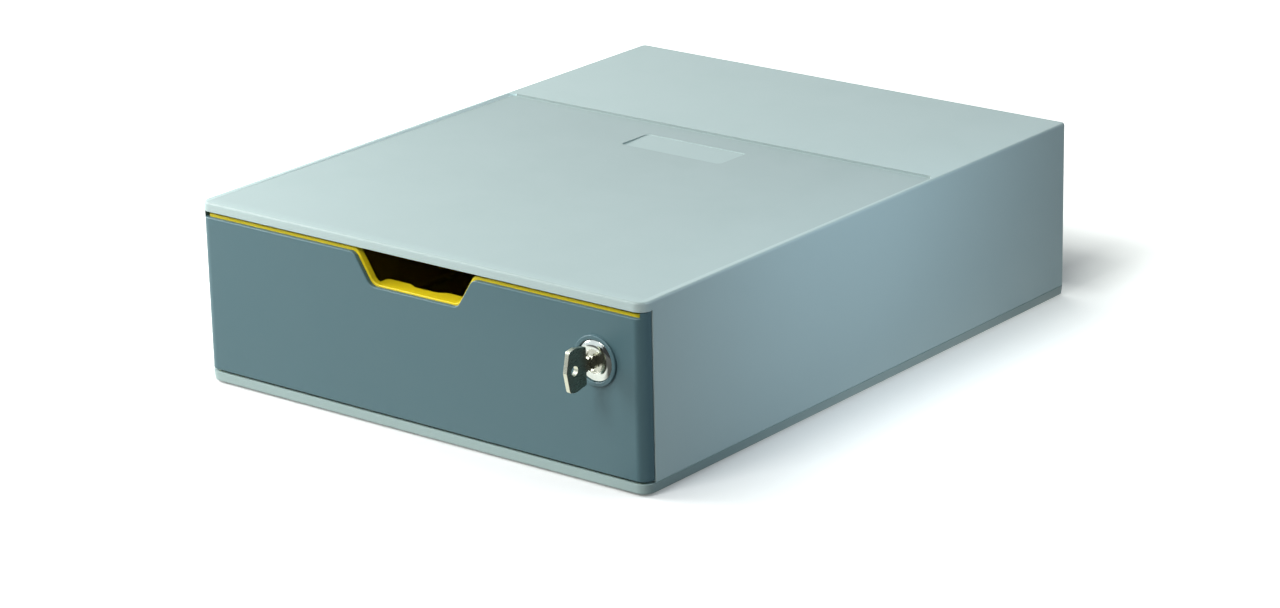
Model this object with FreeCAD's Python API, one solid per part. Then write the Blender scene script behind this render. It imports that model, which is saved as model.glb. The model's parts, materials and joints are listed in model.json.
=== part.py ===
import FreeCAD, Part
import math
import os

# One-drawer box for a desk, with a lock and its key, in millimetres.
# +X is to the user's right, +Y to the back, +Z up. Z = 0 is the desk under the feet.
# The origin is the middle of the whole footprint, the key in the lock included.

# ---------------------------------------------------------------- driving dimensions

# Housing: one moulding of roof, side walls and back wall
HOUSING_WIDTH = 280.0
HOUSING_DEPTH = 356.0
OVERALL_HEIGHT = 95.0
HOUSING_WALL = 2.5
ROOF_THICK = 3.0
ROOF_OVERHANG = 7.0         # roof and base plate reach this far in front of the side walls
ROOF_LIP_HEIGHT = 4.75
ROOF_LIP_WALL = 3.0
ROOF_EDGE_RADIUS = 1.3
PLAN_CORNER_RADIUS = 6.0    # upright corners of the housing and the base plate, at the front
REAR_CORNER_RADIUS = 3.0    # and at the rear
WALL_FRONT_RADIUS = 0.5
SEAM_CHAMFER = 0.35         # groove where the shell meets the base plate

# Shallow ramp sunk into the roof, and the bare badge pocket in it
RAMP_BORDER = 4.0
RAMP_LENGTH = 237.5         # from the front face to the step
RAMP_DEPTH = 1.2            # at the step
RAMP_WALL_LEAN = 1.5        # its side walls run out this many times their height
RAMP_CORNER_RADIUS = 5.0
BADGE_WIDTH = 64.0
BADGE_LENGTH = 22.5
BADGE_TO_STEP = 18.0
BADGE_OFFSET = 2.0          # its centre stands this far to the right
BADGE_FRONT_DEPTH = 0.9
BADGE_REAR_DEPTH = 0.25
BADGE_CORNER_RADIUS = 2.5

# Base plate and what is under it
FOOT_PROUD = 1.0            # the feet lift the base plate this far off the desk
FOOT_RADIUS = 7.0
FOOT_RECESS = 1.4
FOOT_INSET_X = 18.0
FOOT_INSET_Y = 18.0
FOOT_EDGE_RADIUS = 0.4
FOOT_PAD_WALL = 2.0
BASE_HEIGHT = 5.1
BASE_DECK = 2.2
BASE_RIM = 3.0
BASE_DRAFT = 0.4            # its sides lean in this far towards the desk
BASE_EDGE_RADIUS = 1.0
BASE_RIB = 1.6
BASE_RIBS_ACROSS = 5
BASE_RIBS_ALONG = 7
BASE_RIB_SHORTFALL = 0.6    # the ribs end this far above the rim's underside

# Glide rails on the base plate, and the ribs inside the shell that guide the tray
RAIL_FROM_SIDE = 40.0       # from the housing's outside to the middle of a rail
RAIL_WIDTH = 4.0
RAIL_HEIGHT = 0.9
RAIL_INSET = 12.0
GLIDE_CLEARANCE = 0.1
SIDE_CLEARANCE = 0.4
HOLD_DOWN_WIDTH = 5.0
HOLD_DOWN_THICK = 2.0
HOLD_DOWN_CLEARANCE = 0.3

# Base screws and the shell's bosses
SCREW_COUNT_PER_SIDE = 3
SCREW_INSET_X = 5.6
SCREW_INSET_Y = 32.0
SCREW_SHANK_RADIUS = 1.25
SCREW_HEAD_RADIUS = 2.6
SCREW_HEAD_HEIGHT = 1.4
SCREW_SLOT = 0.5
SCREW_SLOT_DEPTH = 0.8
SCREW_GRIP = 10.0           # length held in the plastic
BOSS_RADIUS = 3.2
BOSS_HEIGHT = 22.0
HOLE_CLEARANCE = 0.2
THREAD_CLEARANCE = 0.05

# Drawer front
FRONT_SIDE_GAP = 0.5        # inset of the front from the housing's width
FRONT_TO_BASE = 1.2
FRONT_TO_LIP = 3.05         # left open under the roof's lip
FRONT_THICK = 2.2
FRONT_CORNER_RADIUS = 5.5
FRONT_EAR_TO_LIP = 0.4      # its bent-round ends stand higher and nearly meet the lip
FRONT_TO_WALL = 0.5         # black line between the front's returns and the side walls
FRONT_EDGE_RADIUS = 0.6
NOTCH_TOP_HALF = 37.5
NOTCH_FLOOR_HALF = 27.5
NOTCH_DEPTH = 15.6
NOTCH_TOP_RADIUS = 5.0
NOTCH_FLOOR_RADIUS = 5.5

# Drawer tray
TRAY_FRONT_THICK = 3.2
TRAY_ABOVE_FRONT = 1.6      # its front wall shows as a line above the drawer front
TRAY_COLLAR = 0.9           # and as a rim inside the notch
TRAY_IN_FRONT_CLEARANCE = 0.1
TRAY_WALL = 2.0
TRAY_FLOOR = 2.0
TRAY_BODY_INSET = 9.5       # from the housing's outside to the tray's side wall
TRAY_RIM_TO_ROOF = 11.9     # from the tray's rim to the underside of the roof
TRAY_RIM_THICK = 2.0
TRAY_RUNNER_WIDTH = 6.0
TRAY_RUNNER_HEIGHT = 1.0
TRAY_CORNER_RADIUS = 5.0
TRAY_REAR_GAP = 4.0         # between the tray and the back wall
TRAY_EDGE_RADIUS = 0.5
LEDGE_REACH = 12.0          # finger ledge behind the notch, from the front face
LEDGE_SCOOP = 2.5
LEDGE_SCOOP_HALF = 7.0
LEDGE_SCOOP_EASE = 5.0
LEDGE_THICK = 2.0
LEDGE_CORNER_RADIUS = 2.0
LEDGE_SCOOP_RADIUS = 4.0

# How far the drawer opens, and what stops it
DRAWER_TRAVEL = 270.0
STOP_SPACING = 120.0
STOP_WIDTH = 14.0
STOP_THICK = 4.0
STOP_OVERLAP = 3.5
STOP_HEADROOM = 3.5         # between the tray's tabs and the roof
STOP_CLEARANCE = 0.1
REST_CLEARANCE = 0.3
REAR_STOP_WIDTH = 3.0

# Screws that hold the drawer front on the tray
FRONT_SCREW_INSET = 20.0    # from the housing's outside
FRONT_SCREW_LOW = 11.0      # above the front's lower edge
FRONT_SCREW_HIGH = 7.0      # below its upper edge
FRONT_BOSS_RADIUS = 3.5
FRONT_BOSS_HEIGHT = 2.0
FRONT_SKIN = 0.9            # left in front of the screw holes

# Lock body, nut and washer
LOCK_INSET = 28.5           # from the housing's right side to the lock's axis
LOCK_BELOW_FRONT_TOP = 24.9
RING_RADIUS = 12.5          # moulded ring on the drawer front, around the lock
RING_WALL = 2.2
RING_HEIGHT = 1.3
RING_EDGE_RADIUS = 0.5
FLANGE_RADIUS = 10.0
FLANGE_RIM = 0.7
FLANGE_CROWN = 1.7
FLANGE_CROWN_RADIUS = 6.9
BARREL_RADIUS = 8.0
BARREL_LENGTH = 17.6
BARREL_FLAT = 7.2           # from the axis to each flat
BARREL_HOLE_CLEARANCE = 0.1
WASHER_RADIUS = 12.0
WASHER_THICK = 1.0
NUT_ACROSS_FLATS = 20.0
NUT_THICK = 4.0
NUT_EDGE_CHAMFER = 0.5

# Lock cylinder and its wafers
CYLINDER_RADIUS = 5.9
RUNNING_CLEARANCE = 0.03
CYLINDER_FRONT_DISH = 0.9
CYLINDER_RIM = 0.8
CYLINDER_TAIL_START = 19.0
KEYWAY_CLEARANCE = 0.1
WAFER_COUNT = 5
WAFER_PITCH = 2.2
WAFER_START = 3.0
WAFER_THICK = 1.0
WAFER_WIDTH = 5.0
WAFER_SLOT_CLEARANCE = 0.05
WAFER_WINDOW_CLEARANCE = 0.2
WAFER_LUG = 1.1
WAFER_LUG_HEIGHT = 1.2
WAFER_SPRING_RADIUS = 0.36
WAFER_SPRING_WIRE = 0.1
WAFER_SPRING_LENGTH = 3.0
WAFER_SPRING_TURNS = 5
CLIP_THICK = 0.6
CLIP_REACH = 1.0
CLIP_GROOVE = 0.6
CLIP_GAP = 7.0

# Cam behind the lock, its washer and screw
TAIL_SIDE = 6.0
CAM_THICK = 2.0
CAM_WIDTH = 12.0
CAM_REACH = 25.0            # from the lock's axis to the tip
CAM_TIP_WIDTH = 8.0
CAM_CORNER_RADIUS = 1.5
CAM_WASHER_RADIUS = 5.0
CAM_WASHER_THICK = 0.8
CAM_SCREW_RADIUS = 1.9
CAM_SCREW_HEAD_RADIUS = 3.6
CAM_SCREW_HEAD_HEIGHT = 2.0
CAM_SCREW_GRIP = 4.5
STRIKE_WIDTH = 14.0
STRIKE_THICK = 4.0
STRIKE_OVERLAP = 4.4        # of the turned cam and the strike rib
STRIKE_CLEARANCE = 0.3

# Key
KEY_PROUD = 22.4            # from the housing's front face to the end of the bow
KEY_BOW_LENGTH = 14.2
KEY_BOW_HEIGHT = 21.6
KEY_BOW_END = 20.2          # height of the bow at its end
KEY_BOW_SHOULDER = 18.6     # and where the blade begins
KEY_BOW_BULGE = 2.2         # its end comes to a blunt point this far out
KEY_BOW_THICK = 2.5
KEY_BOW_RADIUS = 2.0
KEY_HOLE_RADIUS = 2.4
KEY_HOLE_FROM_END = 5.6
KEY_BLADE_HEIGHT = 6.6
KEY_BLADE_THICK = 1.8
KEY_BLADE_INSIDE = 15.0
KEY_TIP = 2.2
KEY_CUT_DEPTHS = (0.9, 1.4, 0.6, 1.2, 0.8, 1.5, 1.0, 0.7)
KEY_CUT_WIDTH = 1.8
KEY_EDGE_RADIUS = 0.3

# ---------------------------------------------------------------- places that follow

V = FreeCAD.Vector
UP = V(0, 0, 1)
BACK = V(0, 1, 0)
RIGHT = V(1, 0, 0)
TINY = 1e-6
MARGIN = 1.0                # how far a cutting tool reaches past what it cuts

HALF_WIDTH = HOUSING_WIDTH / 2
FRONT_Y = (KEY_PROUD - HOUSING_DEPTH) / 2
REAR_Y = FRONT_Y + HOUSING_DEPTH
SIDE_WALL_Y = FRONT_Y + ROOF_OVERHANG
INNER_HALF = HALF_WIDTH - HOUSING_WALL
INNER_REAR_Y = REAR_Y - HOUSING_WALL
RAIL_X = HALF_WIDTH - RAIL_FROM_SIDE
BASE_UNDER_Z = FOOT_PROUD
BASE_TOP_Z = BASE_UNDER_Z + BASE_HEIGHT
ROOF_UNDER_Z = OVERALL_HEIGHT - ROOF_THICK
LIP_UNDER_Z = OVERALL_HEIGHT - ROOF_LIP_HEIGHT
STEP_Y = FRONT_Y + RAMP_LENGTH

FRONT_HALF = HALF_WIDTH - FRONT_SIDE_GAP
FRONT_BOTTOM_Z = BASE_TOP_Z + FRONT_TO_BASE
FRONT_TOP_Z = LIP_UNDER_Z - FRONT_TO_LIP
FRONT_BACK_Y = FRONT_Y + FRONT_THICK
RETURN_END_Y = SIDE_WALL_Y - FRONT_TO_WALL

TRAY_FRONT_BACK_Y = FRONT_BACK_Y + TRAY_FRONT_THICK
TRAY_REAR_Y = INNER_REAR_Y - TRAY_REAR_GAP
TRAY_HALF = HALF_WIDTH - TRAY_BODY_INSET
TRAY_RIM_HALF = INNER_HALF - SIDE_CLEARANCE
TRAY_BOTTOM_Z = BASE_TOP_Z + RAIL_HEIGHT + GLIDE_CLEARANCE
TRAY_FLOOR_UNDER_Z = TRAY_BOTTOM_Z + TRAY_RUNNER_HEIGHT
TRAY_FLOOR_Z = TRAY_FLOOR_UNDER_Z + TRAY_FLOOR
TRAY_RIM_Z = ROOF_UNDER_Z - TRAY_RIM_TO_ROOF
TRAY_TAB_Z = ROOF_UNDER_Z - STOP_HEADROOM
TAB_FRONT_Y = TRAY_REAR_Y - TRAY_WALL
ROOF_STOP_Y = TAB_FRONT_Y - DRAWER_TRAVEL - STOP_CLEARANCE

LOCK_X = HALF_WIDTH - LOCK_INSET
LOCK_Z = FRONT_TOP_Z - LOCK_BELOW_FRONT_TOP
CAM_Y = FRONT_Y + CYLINDER_TAIL_START
CAM_END_Y = CAM_Y + CAM_THICK
NUT_Y = TRAY_FRONT_BACK_Y + WASHER_THICK
KEY_SLOT_HALF = KEY_BLADE_HEIGHT / 2 + KEYWAY_CLEARANCE
KEY_SHOULDER_Y = FRONT_Y - KEY_PROUD + KEY_BOW_LENGTH


# ---------------------------------------------------------------- helpers

def corner_arc(corner, before, after, radius):
    """Start, middle and end of the arc that rounds a corner between two straight sides."""
    toward_before = (before - corner).normalize()
    toward_after = (after - corner).normalize()
    half_angle = toward_before.getAngle(toward_after) / 2
    inward = (toward_before + toward_after).normalize()
    start = corner + toward_before * (radius / math.tan(half_angle))
    middle = corner + inward * (radius / math.sin(half_angle) - radius)
    end = corner + toward_after * (radius / math.tan(half_angle))
    return start, middle, end


def outline(corners, radii):
    """Closed wire through the corners, each one rounded by its radius (0 leaves it sharp)."""
    arcs = []
    for i, corner in enumerate(corners):
        if radii[i] > 0:
            after = corners[(i + 1) % len(corners)]
            arcs.append(corner_arc(corner, corners[i - 1], after, radii[i]))
        else:
            arcs.append((corner, corner, corner))
    edges = []
    for i, (start, middle, end) in enumerate(arcs):
        last_end = arcs[i - 1][2]
        if last_end.distanceToPoint(start) > TINY:
            edges.append(Part.makeLine(last_end, start))
        if start.distanceToPoint(end) > TINY:
            edges.append(Part.Arc(start, middle, end).toShape())
    return Part.Wire(edges)


def block(x0, x1, y0, y1, z0, z1):
    """Plain box between two corners."""
    return Part.makeBox(x1 - x0, y1 - y0, z1 - z0, V(x0, y0, z0))


def plan_outline(half_x, y0, y1, z, front_radius, rear_radius):
    """Rounded rectangle seen from above, centred on X = 0."""
    corners = [V(-half_x, y0, z), V(half_x, y0, z), V(half_x, y1, z), V(-half_x, y1, z)]
    return outline(corners, [front_radius, front_radius, rear_radius, rear_radius])


def plan_block(half_x, y0, y1, z0, z1, front_radius, rear_radius):
    """Upright block whose plan is a rounded rectangle."""
    wire = plan_outline(half_x, y0, y1, z0, front_radius, rear_radius)
    return Part.Face(wire).extrude(UP * (z1 - z0))


def flat_sided(front, rear):
    """Solid with flat faces between two four-cornered sections, each given anticlockwise from the front."""
    loops = [front, rear[::-1]]
    for i in range(4):
        j = (i + 1) % 4
        loops.append([front[j], front[i], rear[i], rear[j]])
    faces = [Part.Face(Part.makePolygon(loop + loop[:1])) for loop in loops]
    return Part.Solid(Part.Shell(faces))


def disc(x, y, z0, z1, radius):
    """Upright cylinder."""
    return Part.makeCylinder(radius, z1 - z0, V(x, y, z0), UP)


def rod(x, z, y0, y1, radius):
    """Cylinder that runs front to back."""
    return Part.makeCylinder(radius, y1 - y0, V(x, y0, z), BACK)


def joined(shapes):
    """One solid from touching or overlapping ones."""
    return shapes[0].multiFuse(shapes[1:]).removeSplitter()


def softened(shape, radius, wanted):
    """The shape with a fillet on each edge that the test accepts."""
    edges = [edge for edge in shape.Edges if wanted(edge)]
    return shape.makeFillet(radius, edges)


def middle_of(edge):
    """The point half way along an edge."""
    return edge.valueAt((edge.FirstParameter + edge.LastParameter) / 2)


def is_level(edge, z):
    """Whether an edge lies at one height."""
    box = edge.BoundBox
    return abs(box.ZMin - z) < TINY * 10 and abs(box.ZMax - z) < TINY * 10


def lies_at_y(edge, y):
    """Whether an edge lies in one upright plane across the drawer."""
    box = edge.BoundBox
    return abs(box.YMin - y) < TINY * 10 and abs(box.YMax - y) < TINY * 10


def is_upright(edge):
    """Whether an edge runs straight up."""
    box = edge.BoundBox
    return box.XLength < TINY * 10 and box.YLength < TINY * 10


def spread(first, last, count):
    """Evenly spaced places from first to last."""
    return [first + (last - first) * i / (count - 1) for i in range(count)]


def turned(profile):
    """Solid turned about the lock's axis from (distance behind the front face, radius) pairs."""
    points = [V(LOCK_X + radius, FRONT_Y + depth, LOCK_Z) for depth, radius in profile]
    face = Part.Face(Part.makePolygon(points + points[:1]))
    return face.revolve(V(LOCK_X, FRONT_Y, LOCK_Z), BACK, 360)


def tube(inner, outer, depth0, depth1):
    """Ring about the lock's axis."""
    return turned([(depth0, inner), (depth1, inner), (depth1, outer), (depth0, outer)])


def screw(place, direction, shank_radius, grip, head_radius, head_height):
    """Pan-head screw with a cross recess. The place is under the head, the grip runs along direction."""
    shank = Part.makeCylinder(shank_radius, grip, place, direction)
    head = Part.makeCylinder(head_radius, head_height, place - direction * head_height, direction)
    top = place - direction * head_height
    head = softened(head, head_height / 3, lambda edge: (middle_of(edge) - top).dot(direction) < TINY
                    and edge.Length > head_radius * 3)
    solid = head.fuse(shank)
    slot = Part.makeBox(head_radius * 1.2, SCREW_SLOT, SCREW_SLOT_DEPTH + MARGIN)
    slot.translate(V(-head_radius * 0.6, -SCREW_SLOT / 2, -MARGIN))
    turn = FreeCAD.Rotation(UP, direction)
    for angle in (0, 90):
        arm = slot.copy()
        arm.rotate(V(0, 0, 0), UP, angle)
        arm.Placement = FreeCAD.Placement(top, turn).multiply(arm.Placement)
        solid = solid.cut(arm)
    return solid


# ---------------------------------------------------------------- housing

def ramp_z(y):
    """Height of the sunk ramp's surface at a place along the roof."""
    start = FRONT_Y + RAMP_BORDER
    return OVERALL_HEIGHT - RAMP_DEPTH * (y - start) / (STEP_Y - start)


def sunk_prism(half_x, centre_x, places, corner_radius):
    """Cutting tool open at the top, its floor sloping between two (y, z) places."""
    (y0, z0), (y1, z1) = places
    top = OVERALL_HEIGHT + MARGIN
    left = centre_x - half_x
    profile = [V(left, y0, z0), V(left, y1, z1), V(left, y1, top), V(left, y0, top)]
    wedge = Part.Face(Part.makePolygon(profile + profile[:1])).extrude(RIGHT * (2 * half_x))
    front_radius = corner_radius if z0 < OVERALL_HEIGHT else 0
    trim = plan_block(half_x, y0, y1, min(z0, z1) - MARGIN, top, front_radius, corner_radius)
    trim.translate(V(centre_x, 0, 0))
    return wedge.common(trim)


def roof_ramp():
    """What is sunk into the roof: the ramp, with side walls that lean out to its borders."""
    start = FRONT_Y + RAMP_BORDER
    half = HALF_WIDTH - RAMP_BORDER
    top = OVERALL_HEIGHT + 2 * MARGIN
    sections = []
    for y in (start - MARGIN, STEP_Y + MARGIN):
        outer = half + RAMP_WALL_LEAN * (top - ramp_z(y))
        sections.append([V(-half, y, ramp_z(y)), V(half, y, ramp_z(y)), V(outer, y, top), V(-outer, y, top)])
    ramp = flat_sided(*sections)
    trim = plan_block(half + RAMP_WALL_LEAN * RAMP_DEPTH, start, STEP_Y, OVERALL_HEIGHT - RAMP_DEPTH - MARGIN,
                      OVERALL_HEIGHT + MARGIN, 0, RAMP_CORNER_RADIUS)
    return ramp.common(trim)


def badge_pocket():
    """Shallow bare pocket in the ramp, tilted a little towards the user."""
    rear = STEP_Y - BADGE_TO_STEP
    front = rear - BADGE_LENGTH
    places = ((front, ramp_z(front) - BADGE_FRONT_DEPTH), (rear, ramp_z(rear) - BADGE_REAR_DEPTH))
    return sunk_prism(BADGE_WIDTH / 2, BADGE_OFFSET, places, BADGE_CORNER_RADIUS)


def screw_places():
    """Places of the base screws, seen from above."""
    xs = (SCREW_INSET_X - HALF_WIDTH, HALF_WIDTH - SCREW_INSET_X)
    ys = spread(FRONT_Y + SCREW_INSET_Y, REAR_Y - SCREW_INSET_Y, SCREW_COUNT_PER_SIDE)
    return [(x, y) for x in xs for y in ys]


def hold_down_ribs():
    """Ribs on the side walls that keep the tray's rim from tipping up."""
    z = TRAY_RIM_Z + HOLD_DOWN_CLEARANCE
    inner = INNER_HALF - HOLD_DOWN_WIDTH
    outer = INNER_HALF + HOUSING_WALL / 2
    y0 = ROOF_STOP_Y - STOP_THICK
    ribs = []
    for x0, x1 in ((-outer, -inner), (inner, outer)):
        ribs.append(block(x0, x1, y0, INNER_REAR_Y + HOUSING_WALL / 2, z, z + HOLD_DOWN_THICK))
    return ribs


def roof_stops():
    """Ribs under the roof that catch the tabs of the opened tray."""
    bottom = TRAY_TAB_Z - STOP_OVERLAP
    ribs = []
    for x in (-STOP_SPACING / 2, STOP_SPACING / 2):
        ribs.append(block(x - STOP_WIDTH / 2, x + STOP_WIDTH / 2, ROOF_STOP_Y - STOP_THICK, ROOF_STOP_Y,
                          bottom, ROOF_UNDER_Z + ROOF_THICK / 4))
    return ribs


def rear_stops():
    """Ribs on the back wall that the closed tray rests against."""
    ribs = []
    for x in (-STOP_SPACING / 2, STOP_SPACING / 2):
        ribs.append(block(x - REAR_STOP_WIDTH / 2, x + REAR_STOP_WIDTH / 2, TRAY_REAR_Y + REST_CLEARANCE,
                          INNER_REAR_Y + HOUSING_WALL / 2, TRAY_BOTTOM_Z, TRAY_RIM_Z))
    return ribs


def strike_rib():
    """Rib under the roof that the turned cam stands behind."""
    rear = CAM_Y - STRIKE_CLEARANCE
    bottom = LOCK_Z + CAM_REACH - STRIKE_OVERLAP
    return block(LOCK_X - STRIKE_WIDTH / 2, LOCK_X + STRIKE_WIDTH / 2, rear - STRIKE_THICK, rear,
                 bottom, ROOF_UNDER_Z + ROOF_THICK / 4)


def boss(x, y):
    """Screw boss that stands on the base plate and grows out of the side wall."""
    reach = math.copysign(HALF_WIDTH - HOUSING_WALL / 2 - abs(x), x)
    x0, x1 = sorted((x, x + reach))
    post = disc(x, y, BASE_TOP_Z, BASE_TOP_Z + BOSS_HEIGHT, BOSS_RADIUS)
    web = block(x0, x1, y - BOSS_RADIUS / 2, y + BOSS_RADIUS / 2, BASE_TOP_Z, BASE_TOP_Z + BOSS_HEIGHT)
    limit = HALF_WIDTH - HOUSING_WALL / 2
    inside = block(-limit, limit, y - BOSS_RADIUS * 2, y + BOSS_RADIUS * 2, BASE_TOP_Z, ROOF_UNDER_Z)
    return post.fuse(web).common(inside)


def housing_shell():
    """Roof, side walls and back wall in one moulding, open to the front and to the base plate."""
    shell = plan_block(HALF_WIDTH, FRONT_Y, REAR_Y, BASE_TOP_Z, OVERALL_HEIGHT,
                       PLAN_CORNER_RADIUS, REAR_CORNER_RADIUS)
    shell = softened(shell, ROOF_EDGE_RADIUS, lambda edge: is_level(edge, OVERALL_HEIGHT))
    front_void = block(-HALF_WIDTH - MARGIN, HALF_WIDTH + MARGIN, FRONT_Y - MARGIN, SIDE_WALL_Y,
                       BASE_TOP_Z - MARGIN, LIP_UNDER_Z)
    shell = shell.cut(front_void)
    shell = softened(shell, WALL_FRONT_RADIUS,
                     lambda edge: is_upright(edge) and lies_at_y(edge, SIDE_WALL_Y))
    shell = shell.makeChamfer(SEAM_CHAMFER, [edge for edge in shell.Edges if is_level(edge, BASE_TOP_Z)
                                             and not lies_at_y(edge, SIDE_WALL_Y)])
    cavity = plan_block(INNER_HALF, FRONT_Y + ROOF_LIP_WALL, INNER_REAR_Y, BASE_TOP_Z - MARGIN, ROOF_UNDER_Z,
                        PLAN_CORNER_RADIUS - HOUSING_WALL, REAR_CORNER_RADIUS - HOUSING_WALL)
    shell = shell.cut(cavity).cut(roof_ramp()).cut(badge_pocket())
    bosses = [boss(x, y) for x, y in screw_places()]
    shell = joined([shell, strike_rib()] + bosses + hold_down_ribs() + roof_stops() + rear_stops())
    for x, y in screw_places():
        pilot = disc(x, y, BASE_TOP_Z - MARGIN, screw_tip_z() + MARGIN, SCREW_SHANK_RADIUS + THREAD_CLEARANCE)
        shell = shell.cut(pilot)
    return shell


# ---------------------------------------------------------------- base plate, feet, screws

def screw_seat_z():
    """Height of the face under a base screw's head."""
    return BASE_UNDER_Z + SCREW_HEAD_HEIGHT + HOLE_CLEARANCE


def screw_tip_z():
    """Height of a base screw's tip."""
    return BASE_TOP_Z + SCREW_GRIP


def foot_places():
    """Name and place of each foot, seen from above."""
    x = HALF_WIDTH - FOOT_INSET_X
    ends = (("front", FRONT_Y + FOOT_INSET_Y), ("rear", REAR_Y - FOOT_INSET_Y))
    return [("foot_%s_%s" % (end, side), sign * x, y)
            for end, y in ends for side, sign in (("left", -1), ("right", 1))]


def base_ribs():
    """Grid of stiffening ribs under the deck."""
    inner_x = HALF_WIDTH - BASE_RIM
    z0 = BASE_UNDER_Z + BASE_RIB_SHORTFALL
    z1 = BASE_TOP_Z - BASE_DECK / 2
    y0 = FRONT_Y + BASE_RIM / 2
    y1 = REAR_Y - BASE_RIM / 2
    ribs = []
    for x in spread(-inner_x, inner_x, BASE_RIBS_ACROSS + 2)[1:-1]:
        ribs.append(block(x - BASE_RIB / 2, x + BASE_RIB / 2, y0, y1, z0, z1))
    for y in spread(FRONT_Y + BASE_RIM, REAR_Y - BASE_RIM, BASE_RIBS_ALONG + 2)[1:-1]:
        ribs.append(block(BASE_RIM / 2 - HALF_WIDTH, HALF_WIDTH - BASE_RIM / 2, y - BASE_RIB / 2,
                          y + BASE_RIB / 2, z0, z1))
    return ribs


def glide_rails():
    """Two low rails on the deck that the tray's runners slide on."""
    rails = []
    for x in (-RAIL_X, RAIL_X):
        rails.append(block(x - RAIL_WIDTH / 2, x + RAIL_WIDTH / 2, FRONT_Y + RAIL_INSET,
                           REAR_Y - RAIL_INSET, BASE_TOP_Z - BASE_DECK / 2, BASE_TOP_Z + RAIL_HEIGHT))
    return rails


def base_plate():
    """Plate that closes the shell from below, with ribs, foot pads and screw seats under its deck."""
    foot_outline = plan_outline(HALF_WIDTH - BASE_DRAFT, FRONT_Y + BASE_DRAFT, REAR_Y - BASE_DRAFT,
                                BASE_UNDER_Z, PLAN_CORNER_RADIUS, REAR_CORNER_RADIUS)
    top_outline = plan_outline(HALF_WIDTH, FRONT_Y, REAR_Y, BASE_TOP_Z,
                               PLAN_CORNER_RADIUS, REAR_CORNER_RADIUS)
    plate = Part.makeLoft([foot_outline, top_outline], True, True)
    plate = softened(plate, BASE_EDGE_RADIUS, lambda edge: is_level(edge, BASE_UNDER_Z))
    hollow = plan_block(HALF_WIDTH - BASE_RIM, FRONT_Y + BASE_RIM, REAR_Y - BASE_RIM, BASE_UNDER_Z - MARGIN,
                        BASE_TOP_Z - BASE_DECK, BASE_RIM, BASE_RIM)
    pads = [disc(x, y, BASE_UNDER_Z, BASE_TOP_Z - BASE_DECK / 2, FOOT_RADIUS + FOOT_PAD_WALL)
            for name, x, y in foot_places()]
    seats = [disc(x, y, BASE_UNDER_Z, BASE_TOP_Z - BASE_DECK / 2, BOSS_RADIUS) for x, y in screw_places()]
    plate = joined([plate.cut(hollow)] + base_ribs() + pads + seats + glide_rails())
    for name, x, y in foot_places():
        recess = disc(x, y, BASE_UNDER_Z - MARGIN, BASE_UNDER_Z + FOOT_RECESS, FOOT_RADIUS + THREAD_CLEARANCE)
        plate = plate.cut(recess)
    for x, y in screw_places():
        head_room = disc(x, y, BASE_UNDER_Z - MARGIN, screw_seat_z(), SCREW_HEAD_RADIUS + HOLE_CLEARANCE)
        hole = disc(x, y, BASE_UNDER_Z, BASE_TOP_Z + MARGIN, SCREW_SHANK_RADIUS + HOLE_CLEARANCE)
        plate = plate.cut(head_room).cut(hole)
    return plate


def foot(x, y):
    """Rubber pad glued into its recess under the base plate."""
    pad = disc(x, y, 0, BASE_UNDER_Z + FOOT_RECESS, FOOT_RADIUS)
    return softened(pad, FOOT_EDGE_RADIUS, lambda edge: is_level(edge, 0))


def base_screws():
    """Screws that hold the base plate to the shell's bosses."""
    grip = screw_tip_z() - screw_seat_z()
    return [screw(V(x, y, screw_seat_z()), UP, SCREW_SHANK_RADIUS, grip, SCREW_HEAD_RADIUS, SCREW_HEAD_HEIGHT)
            for x, y in screw_places()]


# ---------------------------------------------------------------- drawer front

def face_outline(half_x, bottom, top, shrink):
    """Front view of the drawer front: a rectangle with the finger notch in its upper edge."""
    notch_floor = FRONT_TOP_Z - NOTCH_DEPTH + shrink
    slope = (NOTCH_TOP_HALF - NOTCH_FLOOR_HALF) / NOTCH_DEPTH
    floor_half = NOTCH_FLOOR_HALF - shrink
    top_half = floor_half + slope * (top - notch_floor)
    places = [(-half_x, bottom), (half_x, bottom), (half_x, top), (top_half, top),
              (floor_half, notch_floor), (-floor_half, notch_floor), (-top_half, top), (-half_x, top)]
    radii = [0, 0, 0, NOTCH_TOP_RADIUS - shrink, NOTCH_FLOOR_RADIUS, NOTCH_FLOOR_RADIUS,
             NOTCH_TOP_RADIUS - shrink, 0]
    return outline([V(x, FRONT_Y, z) for x, z in places], radii)


def front_screw_places():
    """Places of the drawer front's screws, seen from the front."""
    xs = (FRONT_SCREW_INSET - HALF_WIDTH, HALF_WIDTH - FRONT_SCREW_INSET)
    return [(x, z) for x in xs for z in (FRONT_BOTTOM_Z + FRONT_SCREW_LOW, FRONT_TOP_Z - FRONT_SCREW_HIGH)]


def barrel_hole(y0, y1):
    """Hole with two flats that keeps the lock body from turning."""
    radius = BARREL_RADIUS + BARREL_HOLE_CLEARANCE
    flat = BARREL_FLAT + BARREL_HOLE_CLEARANCE
    slab = block(LOCK_X - flat, LOCK_X + flat, y0, y1, LOCK_Z - radius, LOCK_Z + radius)
    return rod(LOCK_X, LOCK_Z, y0, y1, radius).common(slab)


def front_ring():
    """Moulded ring around the lock, standing out of the drawer front."""
    ring = tube(RING_RADIUS - RING_WALL, RING_RADIUS, -RING_HEIGHT, FRONT_THICK / 2)
    return softened(ring, RING_EDGE_RADIUS, lambda edge: lies_at_y(edge, FRONT_Y - RING_HEIGHT))


def front_inside(deep, top):
    """What is hollow behind the drawer front, out to its bent-round ends."""
    return plan_block(FRONT_HALF - FRONT_THICK, FRONT_BACK_Y, deep + MARGIN, FRONT_BOTTOM_Z - MARGIN,
                      top + MARGIN, FRONT_CORNER_RADIUS - FRONT_THICK, 0)


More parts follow.
